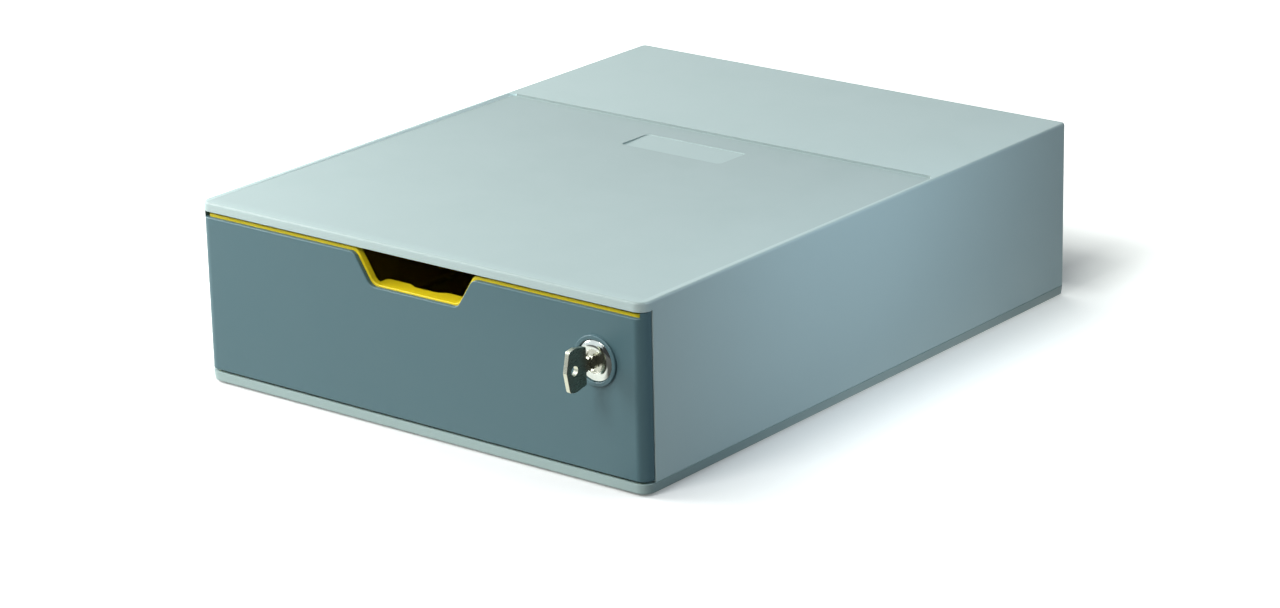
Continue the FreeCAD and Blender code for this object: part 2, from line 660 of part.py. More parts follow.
def front_ears():
    """Bent-round ends of the drawer front, which stand higher than it and close the gap under the lip."""
    top = LIP_UNDER_Z - FRONT_EAR_TO_LIP
    between = FRONT_HALF - FRONT_THICK
    ends = plan_block(FRONT_HALF, FRONT_Y, RETURN_END_Y, FRONT_TOP_Z - MARGIN, top, FRONT_CORNER_RADIUS, 0)
    ends = ends.cut(block(-between, between, FRONT_Y - MARGIN, RETURN_END_Y + MARGIN, 0, OVERALL_HEIGHT))
    ends = ends.cut(front_inside(RETURN_END_Y, top))
    return list(ends.Solids)


def drawer_front():
    """Moulded cover of the tray's front wall, bent round both upright corners."""
    deep = FRONT_Y + 2 * FRONT_CORNER_RADIUS
    front = plan_block(FRONT_HALF, FRONT_Y, deep, FRONT_BOTTOM_Z, FRONT_TOP_Z, FRONT_CORNER_RADIUS, 0)
    face = Part.Face(face_outline(FRONT_HALF + MARGIN, FRONT_BOTTOM_Z - MARGIN, FRONT_TOP_Z, 0))
    front = front.common(face.extrude(BACK * (2 * FRONT_CORNER_RADIUS)))
    front = softened(front, FRONT_EDGE_RADIUS, lambda edge: not is_upright(edge)
                     and middle_of(edge).y < deep - TINY * 10
                     and (lies_at_y(edge, FRONT_Y) or is_level(edge, FRONT_TOP_Z)
                          or is_level(edge, FRONT_BOTTOM_Z)) and edge.BoundBox.YMax < deep + TINY)
    behind = block(-HALF_WIDTH, HALF_WIDTH, RETURN_END_Y, deep + MARGIN, FRONT_BOTTOM_Z - MARGIN,
                   FRONT_TOP_Z + MARGIN)
    front = front.cut(front_inside(deep, FRONT_TOP_Z)).cut(behind)
    bosses = [rod(x, z, FRONT_BACK_Y - FRONT_THICK / 4, FRONT_BACK_Y + FRONT_BOSS_HEIGHT, FRONT_BOSS_RADIUS)
              for x, z in front_screw_places()]
    front = joined([front, front_ring()] + front_ears() + bosses)
    for x, z in front_screw_places():
        pilot = rod(x, z, FRONT_Y + FRONT_SKIN, FRONT_BACK_Y + FRONT_BOSS_HEIGHT + MARGIN,
                    SCREW_SHANK_RADIUS + THREAD_CLEARANCE)
        front = front.cut(pilot)
    return front.cut(barrel_hole(FRONT_Y - MARGIN, FRONT_BACK_Y + MARGIN))


def front_screws():
    """Screws through the tray's front wall into the drawer front."""
    grip = TRAY_FRONT_BACK_Y - FRONT_Y - FRONT_SKIN - HOLE_CLEARANCE
    return [screw(V(x, TRAY_FRONT_BACK_Y, z), BACK * -1, SCREW_SHANK_RADIUS, grip, SCREW_HEAD_RADIUS,
                  SCREW_HEAD_HEIGHT) for x, z in front_screw_places()]


# ---------------------------------------------------------------- drawer tray

def tray_front_wall():
    """Front wall of the tray, which fits inside the drawer front and shows above it and in its notch."""
    half = FRONT_HALF - FRONT_THICK - TRAY_IN_FRONT_CLEARANCE
    top = FRONT_TOP_Z + TRAY_ABOVE_FRONT
    radius = FRONT_CORNER_RADIUS - FRONT_THICK - TRAY_IN_FRONT_CLEARANCE
    depth = radius + TRAY_FRONT_THICK
    wall = plan_block(half, FRONT_BACK_Y, FRONT_BACK_Y + depth, TRAY_FLOOR_UNDER_Z, top, radius, 0)
    face = Part.Face(face_outline(half + MARGIN, TRAY_FLOOR_UNDER_Z - MARGIN, top, TRAY_COLLAR))
    wall = wall.common(face.extrude(BACK * (2 * depth)))
    wall = softened(wall, TRAY_EDGE_RADIUS, lambda edge: not is_upright(edge)
                    and lies_at_y(edge, FRONT_BACK_Y) and middle_of(edge).z > FRONT_TOP_Z - NOTCH_DEPTH)
    return wall.cut(block(-HALF_WIDTH, HALF_WIDTH, TRAY_FRONT_BACK_Y, TRAY_FRONT_BACK_Y + depth,
                          0, OVERALL_HEIGHT))


def finger_ledge():
    """Ledge behind the notch for the fingers, with a shallow scoop in its rear edge."""
    z = FRONT_TOP_Z - NOTCH_DEPTH + TRAY_COLLAR
    half = NOTCH_FLOOR_HALF - TRAY_COLLAR
    rear = FRONT_Y + LEDGE_REACH
    scoop = rear - LEDGE_SCOOP
    outer = LEDGE_SCOOP_HALF + LEDGE_SCOOP_EASE
    front = TRAY_FRONT_BACK_Y - TRAY_FRONT_THICK / 2
    places = [(-half, front), (half, front), (half, rear), (outer, rear), (LEDGE_SCOOP_HALF, scoop),
              (-LEDGE_SCOOP_HALF, scoop), (-outer, rear), (-half, rear)]
    radii = [0, 0, LEDGE_CORNER_RADIUS, LEDGE_SCOOP_RADIUS, LEDGE_SCOOP_RADIUS, LEDGE_SCOOP_RADIUS,
             LEDGE_SCOOP_RADIUS, LEDGE_CORNER_RADIUS]
    wire = outline([V(x, y, z - LEDGE_THICK) for x, y in places], radii)
    return Part.Face(wire).extrude(UP * LEDGE_THICK)


def tray_body():
    """Open box with a rim that runs out sideways under the hold-down ribs."""
    body = plan_block(TRAY_HALF, TRAY_FRONT_BACK_Y, TRAY_REAR_Y, TRAY_FLOOR_UNDER_Z, TRAY_RIM_Z,
                      0, TRAY_CORNER_RADIUS)
    rim = plan_block(TRAY_RIM_HALF, TRAY_FRONT_BACK_Y, TRAY_REAR_Y, TRAY_RIM_Z - TRAY_RIM_THICK, TRAY_RIM_Z,
                     0, TRAY_CORNER_RADIUS)
    inside = plan_block(TRAY_HALF - TRAY_WALL, TRAY_FRONT_BACK_Y, TRAY_REAR_Y - TRAY_WALL, TRAY_FLOOR_Z,
                        TRAY_RIM_Z + MARGIN, 0, TRAY_CORNER_RADIUS - TRAY_WALL)
    inside = softened(inside, TRAY_CORNER_RADIUS - TRAY_WALL - TRAY_EDGE_RADIUS,
                      lambda edge: is_level(edge, TRAY_FLOOR_Z) and not lies_at_y(edge, TRAY_FRONT_BACK_Y))
    return body.fuse(rim).cut(inside)


def tray_runners():
    """Runners under the tray's floor, on the glide rails."""
    runners = []
    for x in (-RAIL_X, RAIL_X):
        runners.append(block(x - TRAY_RUNNER_WIDTH / 2, x + TRAY_RUNNER_WIDTH / 2, FRONT_Y + RAIL_INSET,
                             TRAY_REAR_Y - TRAY_WALL, TRAY_BOTTOM_Z, TRAY_FLOOR_UNDER_Z + TRAY_FLOOR / 2))
    return runners


def tray_tabs():
    """Tabs on the rear wall that meet the roof stops when the drawer is fully open."""
    tabs = []
    for x in (-STOP_SPACING / 2, STOP_SPACING / 2):
        tabs.append(block(x - STOP_WIDTH / 2, x + STOP_WIDTH / 2, TAB_FRONT_Y, TRAY_REAR_Y,
                          TRAY_RIM_Z - TRAY_RIM_THICK, TRAY_TAB_Z))
    return tabs


def drawer_tray():
    """Tray that carries the papers, open at the top."""
    tray = joined([tray_body(), tray_front_wall(), finger_ledge()] + tray_runners() + tray_tabs())
    for x, z in front_screw_places():
        pocket = rod(x, z, FRONT_BACK_Y - MARGIN, FRONT_BACK_Y + FRONT_BOSS_HEIGHT + THREAD_CLEARANCE,
                     FRONT_BOSS_RADIUS + THREAD_CLEARANCE)
        hole = rod(x, z, FRONT_BACK_Y, TRAY_FRONT_BACK_Y + MARGIN, SCREW_SHANK_RADIUS + HOLE_CLEARANCE)
        tray = tray.cut(pocket).cut(hole)
    return tray.cut(barrel_hole(FRONT_BACK_Y - MARGIN, TRAY_FRONT_BACK_Y + MARGIN))


# ---------------------------------------------------------------- lock body

def lock_body():
    """Barrel with a domed flange that stands inside the ring of the drawer front."""
    bore = CYLINDER_RADIUS + RUNNING_CLEARANCE
    places = [(-FLANGE_CROWN, bore), (BARREL_LENGTH, bore), (BARREL_LENGTH, BARREL_RADIUS),
              (0, BARREL_RADIUS), (0, FLANGE_RADIUS), (-FLANGE_RIM, FLANGE_RADIUS)]
    points = [V(LOCK_X + radius, FRONT_Y + depth, LOCK_Z) for depth, radius in places]
    crown_edge = V(LOCK_X + FLANGE_CROWN_RADIUS, FRONT_Y - FLANGE_CROWN, LOCK_Z)
    bulge = (points[-1] + crown_edge) * 0.5 + V(0.18, -0.18, 0)
    edges = [Part.makeLine(points[i], points[i + 1]) for i in range(len(points) - 1)]
    edges.append(Part.Arc(points[-1], bulge, crown_edge).toShape())
    edges.append(Part.makeLine(crown_edge, points[0]))
    body = Part.Face(Part.Wire(edges)).revolve(V(LOCK_X, FRONT_Y, LOCK_Z), BACK, 360)
    outside = BARREL_RADIUS + MARGIN
    for side in (-1, 1):
        x0, x1 = sorted((LOCK_X + side * BARREL_FLAT, LOCK_X + side * outside))
        body = body.cut(block(x0, x1, FRONT_Y, FRONT_Y + BARREL_LENGTH + MARGIN,
                              LOCK_Z - outside, LOCK_Z + outside))
    return body


def lock_washer():
    """Washer between the tray's front wall and the nut."""
    depth = TRAY_FRONT_BACK_Y - FRONT_Y
    return tube(BARREL_RADIUS + BARREL_HOLE_CLEARANCE, WASHER_RADIUS, depth, depth + WASHER_THICK)


def lock_nut():
    """Hexagon nut that clamps the lock body in the drawer front and the tray."""
    corner = NUT_ACROSS_FLATS / math.sqrt(3)
    points = []
    for i in range(6):
        angle = math.radians(60 * i)
        points.append(V(LOCK_X + corner * math.cos(angle), NUT_Y, LOCK_Z + corner * math.sin(angle)))
    hexagon = Part.Face(Part.makePolygon(points + points[:1])).extrude(BACK * NUT_THICK)
    depth = NUT_Y - FRONT_Y
    rounded = turned([(depth, 0), (depth, corner), (depth + NUT_THICK - NUT_EDGE_CHAMFER, corner),
                      (depth + NUT_THICK, corner - 2 * NUT_EDGE_CHAMFER), (depth + NUT_THICK, 0)])
    bore = rod(LOCK_X, LOCK_Z, NUT_Y - MARGIN, NUT_Y + NUT_THICK + MARGIN, BARREL_RADIUS + THREAD_CLEARANCE)
    return hexagon.common(rounded).cut(bore)


# ---------------------------------------------------------------- lock cylinder

def wafer_places():
    """Front face of each wafer along the lock."""
    return [FRONT_Y + WAFER_START + WAFER_PITCH * i for i in range(WAFER_COUNT)]


def wafer_plate(y, thick, clearance):
    """Wafer with its spring lug, larger all round by the clearance."""
    reach = CYLINDER_RADIUS + MARGIN
    half = WAFER_WIDTH / 2 + clearance
    plate = block(LOCK_X - half, LOCK_X + half, y, y + thick, LOCK_Z - reach, LOCK_Z + reach)
    lug = block(LOCK_X, LOCK_X + half + WAFER_LUG, y, y + thick, LOCK_Z - clearance,
                LOCK_Z + WAFER_LUG_HEIGHT + clearance)
    return plate.fuse(lug)


def spring_well(y):
    """Room beside a wafer for its lug and spring."""
    half = WAFER_WIDTH / 2
    return block(LOCK_X + half, LOCK_X + half + WAFER_LUG + WAFER_SLOT_CLEARANCE,
                 y - WAFER_SLOT_CLEARANCE, y + WAFER_THICK + WAFER_SLOT_CLEARANCE,
                 LOCK_Z - WAFER_SPRING_LENGTH - 2 * WAFER_SLOT_CLEARANCE, LOCK_Z + 2 * WAFER_LUG_HEIGHT)


def lock_cylinder():
    """Plug that the key turns, with a keyway, wafer slots and a square tail for the cam."""
    rear = CYLINDER_TAIL_START
    tail_end = rear + CAM_THICK
    front = -FLANGE_CROWN
    rim = CYLINDER_RADIUS - CYLINDER_RIM
    plug = turned([(front, CYLINDER_RADIUS), (rear, CYLINDER_RADIUS), (rear, 0),
                   (front + CYLINDER_FRONT_DISH, 0), (front + CYLINDER_FRONT_DISH, rim), (front, rim)])
    half = TAIL_SIDE / 2
    tail = block(LOCK_X - half, LOCK_X + half, FRONT_Y + rear - MARGIN, FRONT_Y + tail_end,
                 LOCK_Z - half, LOCK_Z + half)
    plug = joined([plug, tail])
    slot_half = KEY_BLADE_THICK / 2 + KEYWAY_CLEARANCE
    slot_end = FRONT_Y + KEY_BLADE_INSIDE + REST_CLEARANCE
    keyway = block(LOCK_X - slot_half, LOCK_X + slot_half, FRONT_Y + front - MARGIN, slot_end,
                   LOCK_Z - KEY_SLOT_HALF, LOCK_Z + KEY_SLOT_HALF)
    plug = plug.cut(keyway)
    for y in wafer_places():
        slot = wafer_plate(y - WAFER_SLOT_CLEARANCE, WAFER_THICK + 2 * WAFER_SLOT_CLEARANCE,
                           WAFER_SLOT_CLEARANCE)
        plug = plug.cut(slot).cut(spring_well(y))
    groove = tube(CYLINDER_RADIUS - CLIP_GROOVE, CYLINDER_RADIUS + MARGIN, clip_depth(),
                  clip_depth() + CLIP_THICK + 2 * WAFER_SLOT_CLEARANCE)
    thread = rod(LOCK_X, LOCK_Z, CAM_END_Y - CAM_SCREW_GRIP - HOLE_CLEARANCE, CAM_END_Y + MARGIN,
                 CAM_SCREW_RADIUS + THREAD_CLEARANCE)
    return plug.cut(groove).cut(thread)


def lock_wafers():
    """Sprung wafers, drawn in by the key so that the plug can turn."""
    wafers = []
    inside = rod(LOCK_X, LOCK_Z, FRONT_Y, FRONT_Y + BARREL_LENGTH, CYLINDER_RADIUS - WAFER_SLOT_CLEARANCE)
    half_x = KEY_BLADE_THICK / 2 + WAFER_WINDOW_CLEARANCE
    half_z = KEY_BLADE_HEIGHT / 2 + WAFER_WINDOW_CLEARANCE
    for y in wafer_places():
        window = block(LOCK_X - half_x, LOCK_X + half_x, y - MARGIN, y + WAFER_THICK + MARGIN,
                       LOCK_Z - half_z, LOCK_Z + half_z)
        wafers.append(wafer_plate(y, WAFER_THICK, 0).common(inside).cut(window))
    return wafers


def wafer_springs():
    """Small coil spring under the lug of each wafer."""
    springs = []
    pitch = (WAFER_SPRING_LENGTH - 2 * WAFER_SPRING_WIRE) / WAFER_SPRING_TURNS
    x = LOCK_X + (WAFER_WIDTH + WAFER_LUG) / 2
    z = LOCK_Z - WAFER_SPRING_LENGTH + WAFER_SPRING_WIRE
    for y in wafer_places():
        path = Part.makeHelix(pitch, pitch * WAFER_SPRING_TURNS, WAFER_SPRING_RADIUS)
        section = Part.makeCircle(WAFER_SPRING_WIRE, V(WAFER_SPRING_RADIUS, 0, 0), BACK)
        coil = Part.Wire(path.Edges).makePipeShell([Part.Wire(section)], True, True)
        coil.translate(V(x, y + WAFER_THICK / 2, z))
        springs.append(coil)
    return springs


def clip_depth():
    """Front face of the retaining clip, behind the lock body."""
    return BARREL_LENGTH + WAFER_SLOT_CLEARANCE


def cylinder_clip():
    """Open ring in the plug's groove that holds the plug in the lock body."""
    depth = clip_depth() + WAFER_SLOT_CLEARANCE
    ring = tube(CYLINDER_RADIUS - CLIP_GROOVE + THREAD_CLEARANCE, CYLINDER_RADIUS + CLIP_REACH, depth,
                depth + CLIP_THICK)
    reach = CYLINDER_RADIUS + CLIP_REACH + MARGIN
    gap = block(LOCK_X - CLIP_GAP / 2, LOCK_X + CLIP_GAP / 2, FRONT_Y + depth - MARGIN,
                FRONT_Y + depth + CLIP_THICK + MARGIN, LOCK_Z - reach, LOCK_Z)
    return ring.cut(gap)


def lock_cam():
    """Cam on the plug's square tail. It points to the middle of the drawer when unlocked."""
    half = CAM_WIDTH / 2
    tip = CAM_TIP_WIDTH / 2
    places = [(half, -half), (half, half), (-half, half), (-CAM_REACH, tip), (-CAM_REACH, -tip),
              (-half, -half)]
    wire = outline([V(LOCK_X + x, CAM_Y, LOCK_Z + z) for x, z in places], [CAM_CORNER_RADIUS] * len(places))
    cam = Part.Face(wire).extrude(BACK * CAM_THICK)
    hole = TAIL_SIDE / 2 + THREAD_CLEARANCE
    return cam.cut(block(LOCK_X - hole, LOCK_X + hole, CAM_Y - MARGIN, CAM_END_Y + MARGIN,
                         LOCK_Z - hole, LOCK_Z + hole))


def cam_washer():
    """Washer between the cam and its screw."""
    depth = CAM_END_Y - FRONT_Y
    return tube(CAM_SCREW_RADIUS + HOLE_CLEARANCE, CAM_WASHER_RADIUS, depth, depth + CAM_WASHER_THICK)


def cam_screw():
    """Screw in the plug's tail that holds the cam."""
    place = V(LOCK_X, CAM_END_Y + CAM_WASHER_THICK, LOCK_Z)
    grip = CAM_WASHER_THICK + CAM_SCREW_GRIP
    return screw(place, BACK * -1, CAM_SCREW_RADIUS, grip, CAM_SCREW_HEAD_RADIUS, CAM_SCREW_HEAD_HEIGHT)


# ---------------------------------------------------------------- key

def key_blade():
    """Flat blade with cuts in both edges and a pointed tip."""
    half = KEY_BLADE_HEIGHT / 2
    tip_y = FRONT_Y + KEY_BLADE_INSIDE
    start_y = KEY_SHOULDER_Y - MARGIN
    places = [(start_y, -half), (tip_y - KEY_TIP, -half), (tip_y, -half / 3), (tip_y, half / 3),
              (tip_y - KEY_TIP, half), (start_y, half)]
    x = LOCK_X - KEY_BLADE_THICK / 2
    wire = outline([V(x, y, LOCK_Z + z) for y, z in places], [0, KEY_EDGE_RADIUS, KEY_EDGE_RADIUS,
                                                              KEY_EDGE_RADIUS, KEY_EDGE_RADIUS, 0])
    blade = Part.Face(wire).extrude(RIGHT * KEY_BLADE_THICK)
    cuts = spread(KEY_SHOULDER_Y + KEY_CUT_WIDTH, tip_y - KEY_TIP - KEY_CUT_WIDTH, len(KEY_CUT_DEPTHS))
    for i, y in enumerate(cuts):
        for side, depth in ((1, KEY_CUT_DEPTHS[i]), (-1, KEY_CUT_DEPTHS[-1 - i])):
            edge = LOCK_Z + side * half
            points = [V(x - MARGIN, y - KEY_CUT_WIDTH / 2, edge + side * TINY),
                      V(x - MARGIN, y, edge - side * depth),
                      V(x - MARGIN, y + KEY_CUT_WIDTH / 2, edge + side * TINY)]
            notch = Part.Face(Part.makePolygon(points + points[:1]))
            blade = blade.cut(notch.extrude(RIGHT * (KEY_BLADE_THICK + 2 * MARGIN)))
    return blade


def key_bow():
    """Flat bow of the key, with a hole for a ring."""
    end_y = FRONT_Y - KEY_PROUD
    half = KEY_BOW_HEIGHT / 2
    end_half = KEY_BOW_END / 2
    neck_half = KEY_BOW_SHOULDER / 2
    wide_y = end_y + KEY_BOW_LENGTH * 0.45
    places = [(end_y, 0), (end_y + KEY_BOW_BULGE, end_half), (wide_y, half), (KEY_SHOULDER_Y, neck_half),
              (KEY_SHOULDER_Y, -neck_half), (wide_y, -half), (end_y + KEY_BOW_BULGE, -end_half)]
    side = [KEY_BOW_RADIUS, KEY_BOW_RADIUS * 2, KEY_BOW_RADIUS / 2]
    radii = [0] + side + side[::-1]
    x = LOCK_X - KEY_BOW_THICK / 2
    wire = outline([V(x, y, LOCK_Z + z) for y, z in places], radii)
    bow = Part.Face(wire).extrude(RIGHT * KEY_BOW_THICK)
    bow = softened(bow, KEY_EDGE_RADIUS, lambda edge: edge.BoundBox.XLength < TINY * 10)
    hole = Part.makeCylinder(KEY_HOLE_RADIUS, KEY_BOW_THICK + 2 * MARGIN,
                             V(x - MARGIN, end_y + KEY_HOLE_FROM_END, LOCK_Z), RIGHT)
    return bow.cut(hole)


def key():
    """Key in the lock, upright."""
    return joined([key_bow(), key_blade()])


# ---------------------------------------------------------------- files

def write(name, shape):
    """One STEP file per piece; a group of like pieces shares one file."""
    solids = shape if isinstance(shape, list) else [shape]
    whole = solids[0] if len(solids) == 1 else Part.makeCompound(solids)
    whole.exportStep("parts/%s.step" % name)


def main():
    """Build every piece and write it."""
    os.makedirs("parts", exist_ok=True)
    for piece in (housing_shell, base_plate, base_screws, drawer_front, drawer_tray, front_screws,
                  lock_body, lock_washer, lock_nut, lock_cylinder, lock_wafers, wafer_springs,
                  cylinder_clip, lock_cam, cam_washer, cam_screw, key):
        write(piece.__name__, piece())
    for name, x, y in foot_places():
        write(name, foot(x, y))


main()
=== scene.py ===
import json
import math

import bpy
from mathutils import Matrix, Vector

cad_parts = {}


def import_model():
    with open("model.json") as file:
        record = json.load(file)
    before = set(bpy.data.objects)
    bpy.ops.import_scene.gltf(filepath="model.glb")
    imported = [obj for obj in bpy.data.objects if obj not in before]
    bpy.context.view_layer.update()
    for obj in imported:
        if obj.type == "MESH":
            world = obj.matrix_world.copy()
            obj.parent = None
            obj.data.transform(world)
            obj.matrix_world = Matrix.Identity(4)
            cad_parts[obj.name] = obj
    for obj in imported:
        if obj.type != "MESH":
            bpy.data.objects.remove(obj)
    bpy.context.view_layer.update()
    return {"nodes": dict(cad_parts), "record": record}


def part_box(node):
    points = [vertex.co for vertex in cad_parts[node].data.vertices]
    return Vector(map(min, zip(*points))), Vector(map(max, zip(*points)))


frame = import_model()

# ---------------------------------------------------------------- places taken from the frame

MM = 0.001

shell_low, shell_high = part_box("housing_shell")
HALF_WIDTH = shell_high.x
FRONT_Y = shell_low.y
REAR_Y = shell_high.y
TOP_Z = shell_high.z

# The sunk ramp in the roof and the bare pocket in it, as the housing has them
RAMP_BORDER = 4.0 * MM
RAMP_LENGTH = 237.5 * MM
RAMP_DEPTH = 1.2 * MM
BADGE_WIDTH = 64.0 * MM
BADGE_LENGTH = 22.5 * MM
BADGE_TO_STEP = 18.0 * MM
BADGE_OFFSET = 2.0 * MM

RAMP_HALF = HALF_WIDTH - RAMP_BORDER
BELOW_RAMP_Z = TOP_Z - 2 * RAMP_DEPTH
STEP_Y = FRONT_Y + RAMP_LENGTH
BADGE_REAR_Y = STEP_Y - BADGE_TO_STEP
BADGE_FRONT_Y = BADGE_REAR_Y - BADGE_LENGTH
BADGE_LEFT_X = BADGE_OFFSET - BADGE_WIDTH / 2
BADGE_RIGHT_X = BADGE_OFFSET + BADGE_WIDTH / 2
BADGE_TOP_Z = TOP_Z - 0.9 * RAMP_DEPTH

# ---------------------------------------------------------------- small helpers for node trees


def put(tree, socket, value):
    """Link a socket to another one, or give it a value."""
    if isinstance(value, bpy.types.NodeSocket):
        tree.links.new(value, socket)
    else:
        socket.default_value = value


def add(tree, kind, inputs=(), **settings):
    """A new shader node with its settings and the values of its inputs."""
    made = tree.nodes.new(kind)
    for name, value in settings.items():
        setattr(made, name, value)
    for name, value in dict(inputs).items():
        put(tree, made.inputs[name], value)
    return made


def new_material(name):
    """An empty node material, its tree and its main shader."""
    material = bpy.data.materials.new(name)
    material.use_nodes = True
    tree = material.node_tree
    return material, tree, tree.nodes["Principled BSDF"]


def own_place(tree):
    """Where a point lies in its object's own axes, in metres."""
    return add(tree, "ShaderNodeTexCoord").outputs["Object"]


def parts_of(tree, vector):
    """The x, y and z of a vector."""
    return add(tree, "ShaderNodeSeparateXYZ", {0: vector}).outputs


def reach(tree, vector, direction):
    """How far a vector goes along a direction."""
    dot = add(tree, "ShaderNodeVectorMath", {0: vector, 1: direction}, operation="DOT_PRODUCT")
    return dot.outputs["Value"]


def face_direction(tree):
    """The x, y and z of the direction in which a face looks."""
    return parts_of(tree, add(tree, "ShaderNodeNewGeometry").outputs["True Normal"])


def rounded_direction(tree, radius):
    """The direction in which the surface looks once its edges are rounded."""
    return add(tree, "ShaderNodeBevel", {"Radius": radius}, samples=4).outputs[0]


def noise(tree, where, per_metre, detail=2.0, roughness=0.5):
    """Noise of a given number of features per metre."""
    inputs = {"Vector": where, "Scale": per_metre, "Detail": detail, "Roughness": roughness}
    return add(tree, "ShaderNodeTexNoise", inputs).outputs["Fac"]


def math_node(tree, operation, first, second=0.0):
    """One sum or comparison of two numbers, or the size of one."""
    return add(tree, "ShaderNodeMath", {0: first, 1: second}, operation=operation).outputs[0]


def product(tree, first, second):
    """Two numbers multiplied."""
    return math_node(tree, "MULTIPLY", first, second)


def remap(tree, value, low, high, to_low=0.0, to_high=1.0):
    """A value moved from one range to another and kept inside it."""
    inputs = {"Value": value, "From Min": low, "From Max": high, "To Min": to_low, "To Max": to_high}
    return add(tree, "ShaderNodeMapRange", inputs).outputs["Result"]


def mixed(tree, factor, first, second):
    """A colour between two colours."""
    node = add(tree, "ShaderNodeMix", data_type="RGBA")
    for socket, value in ((node.inputs[0], factor), (node.inputs[6], first), (node.inputs[7], second)):
        put(tree, socket, value)
    return node.outputs[2]


def mixed_value(tree, factor, first, second):
    """A number between two numbers."""
    return add(tree, "ShaderNodeMix", {0: factor, 2: first, 3: second}, data_type="FLOAT").outputs[0]


def inside_box(tree, where, low, high):
    """1 where a point lies inside an upright box, 0 elsewhere."""
    inside = 1.0
    for place, least, most in zip(parts_of(tree, where), low, high):
        over = math_node(tree, "GREATER_THAN", place, least)
        under = math_node(tree, "LESS_THAN", place, most)
        inside = product(tree, product(tree, over, under), inside)
    return inside


def edge_mask(tree, radius):
    """1 along the edges of the shape, 0 on its faces."""
    smooth = add(tree, "ShaderNodeNewGeometry").outputs["Normal"]
    return remap(tree, reach(tree, rounded_direction(tree, radius), smooth), 0.98, 0.75)


def grained(tree, shader, strength, depth, height, rounding=None):
    """Give a shader a fine relief, and rounded edges where a radius is named."""
    inputs = {"Strength": strength, "Distance": depth, "Height": height}
    if rounding:
        inputs["Normal"] = rounded_direction(tree, rounding)
    tree.links.new(add(tree, "ShaderNodeBump", inputs).outputs[0], shader.inputs["Normal"])


def shade(colour, factor):
    """A colour made lighter or darker."""
    return tuple(min(1.0, channel * factor) for channel in colour[:3]) + (1.0,)


def grey(level):
    """A colour with the same amount of red, green and blue."""
    return (level, level, level, 1.0)


def linear(red, green, blue):
    """A colour given as it looks on screen, 0 to 255, as a shader wants it."""
    parts = []
    for level in (red, green, blue):
        part = level / 255
        parts.append(part / 12.92 if part <= 0.04045 else ((part + 0.055) / 1.055) ** 2.4)
    return tuple(parts) + (1.0,)


# ---------------------------------------------------------------- painted light and shade on the roof and the base

HAIR = 0.05 * MM                     # just past a face that lies on a border, or just short of it
EDGE_STRIP = 3 * MM
TURNED = 0.2                         # how much of a face's direction has to lie along an axis
# Painted shade on the ramp: its colour darkens towards the step, by these shares
RAMP_PAINTED_SHADE = (0.0, 0.02, 0.03, 1.0)
RAMP_PAINTED_SHADE_FRONT = 0.09
RAMP_PAINTED_SHADE_STEP = 0.22
RAMP_PAINTED_SHADE_FADE = 8 * MM
POCKET_SHARE = 0.5
# Painted shade on the sides of the base
BASE_SIDE_PAINTED_SHADE = 0.66

# Two opposite corners of an upright box round each place of the roof where light and shade are painted
ROOF_PAINTED_PLACES = {
    "ramp": ((-RAMP_HALF, FRONT_Y, BELOW_RAMP_Z), (RAMP_HALF, STEP_Y + HAIR, TOP_Z + HAIR)),
    "pocket": ((BADGE_LEFT_X + HAIR, BADGE_FRONT_Y + HAIR, BELOW_RAMP_Z),
               (BADGE_RIGHT_X - HAIR, BADGE_REAR_Y - HAIR, BADGE_TOP_Z)),
    "step": ((-RAMP_HALF, STEP_Y - 2 * MM, BELOW_RAMP_Z), (RAMP_HALF, STEP_Y + MM, TOP_Z + HAIR)),
    "left_border": ((-HALF_WIDTH - MM, FRONT_Y, BELOW_RAMP_Z), (-RAMP_HALF, STEP_Y, TOP_Z + HAIR)),
    "front_edge": ((-HALF_WIDTH - MM, FRONT_Y - MM, TOP_Z - EDGE_STRIP),
                   (HALF_WIDTH + MM, FRONT_Y + EDGE_STRIP, TOP_Z + HAIR)),
    "left_wall": ((-RAMP_HALF - EDGE_STRIP, FRONT_Y, BELOW_RAMP_Z),
                  (-RAMP_HALF + EDGE_STRIP, STEP_Y, TOP_Z - HAIR)),
}

# Painted light and shade: how bright these places are, as a share of the roof's own colour (the step and the
# front edge darker, the rest lighter)
ROOF_PAINTED_LIGHT_AND_SHADE = {"pocket": 1.03, "step": 0.55, "left_border": 1.15, "front_edge": 0.72, "left_wall": 1.4}


def roof_painted_light_and_shade(tree, where, tone, colour):
    """Painted shade darkens the ramp towards its step, and the step and the front edge; painted light
    brightens the left border, the ramp's left wall and the pocket.
    """
    across, along, upward = face_direction(tree)
    share = {name: inside_box(tree, where, low, high) for name, (low, high) in ROOF_PAINTED_PLACES.items()}
    place_along = parts_of(tree, where)[1]
    # Painted shade on the ramp: none at its front edge, growing towards the step
    fade = remap(tree, place_along, FRONT_Y, FRONT_Y + RAMP_PAINTED_SHADE_FADE)
    depth = remap(tree, place_along, FRONT_Y, STEP_Y, RAMP_PAINTED_SHADE_FRONT, RAMP_PAINTED_SHADE_STEP)
    tone = mixed(tree, product(tree, share["ramp"], product(tree, fade, depth)), tone, RAMP_PAINTED_SHADE)

    forward_and_up = remap(tree, product(tree, along, upward), -0.05, -0.45, 0.0, 0.8)
    share["pocket"] = product(tree, share["pocket"], POCKET_SHARE)
    share["step"] = product(tree, share["step"], math_node(tree, "LESS_THAN", along, -TURNED))
    share["front_edge"] = product(tree, share["front_edge"], forward_and_up)
    share["left_wall"] = product(tree, share["left_wall"], math_node(tree, "GREATER_THAN", across, TURNED))
    # Painted light and shade at each place of the roof
    for name, brightness in ROOF_PAINTED_LIGHT_AND_SHADE.items():
        tone = mixed(tree, share[name], tone, shade(colour, brightness))
    return tone


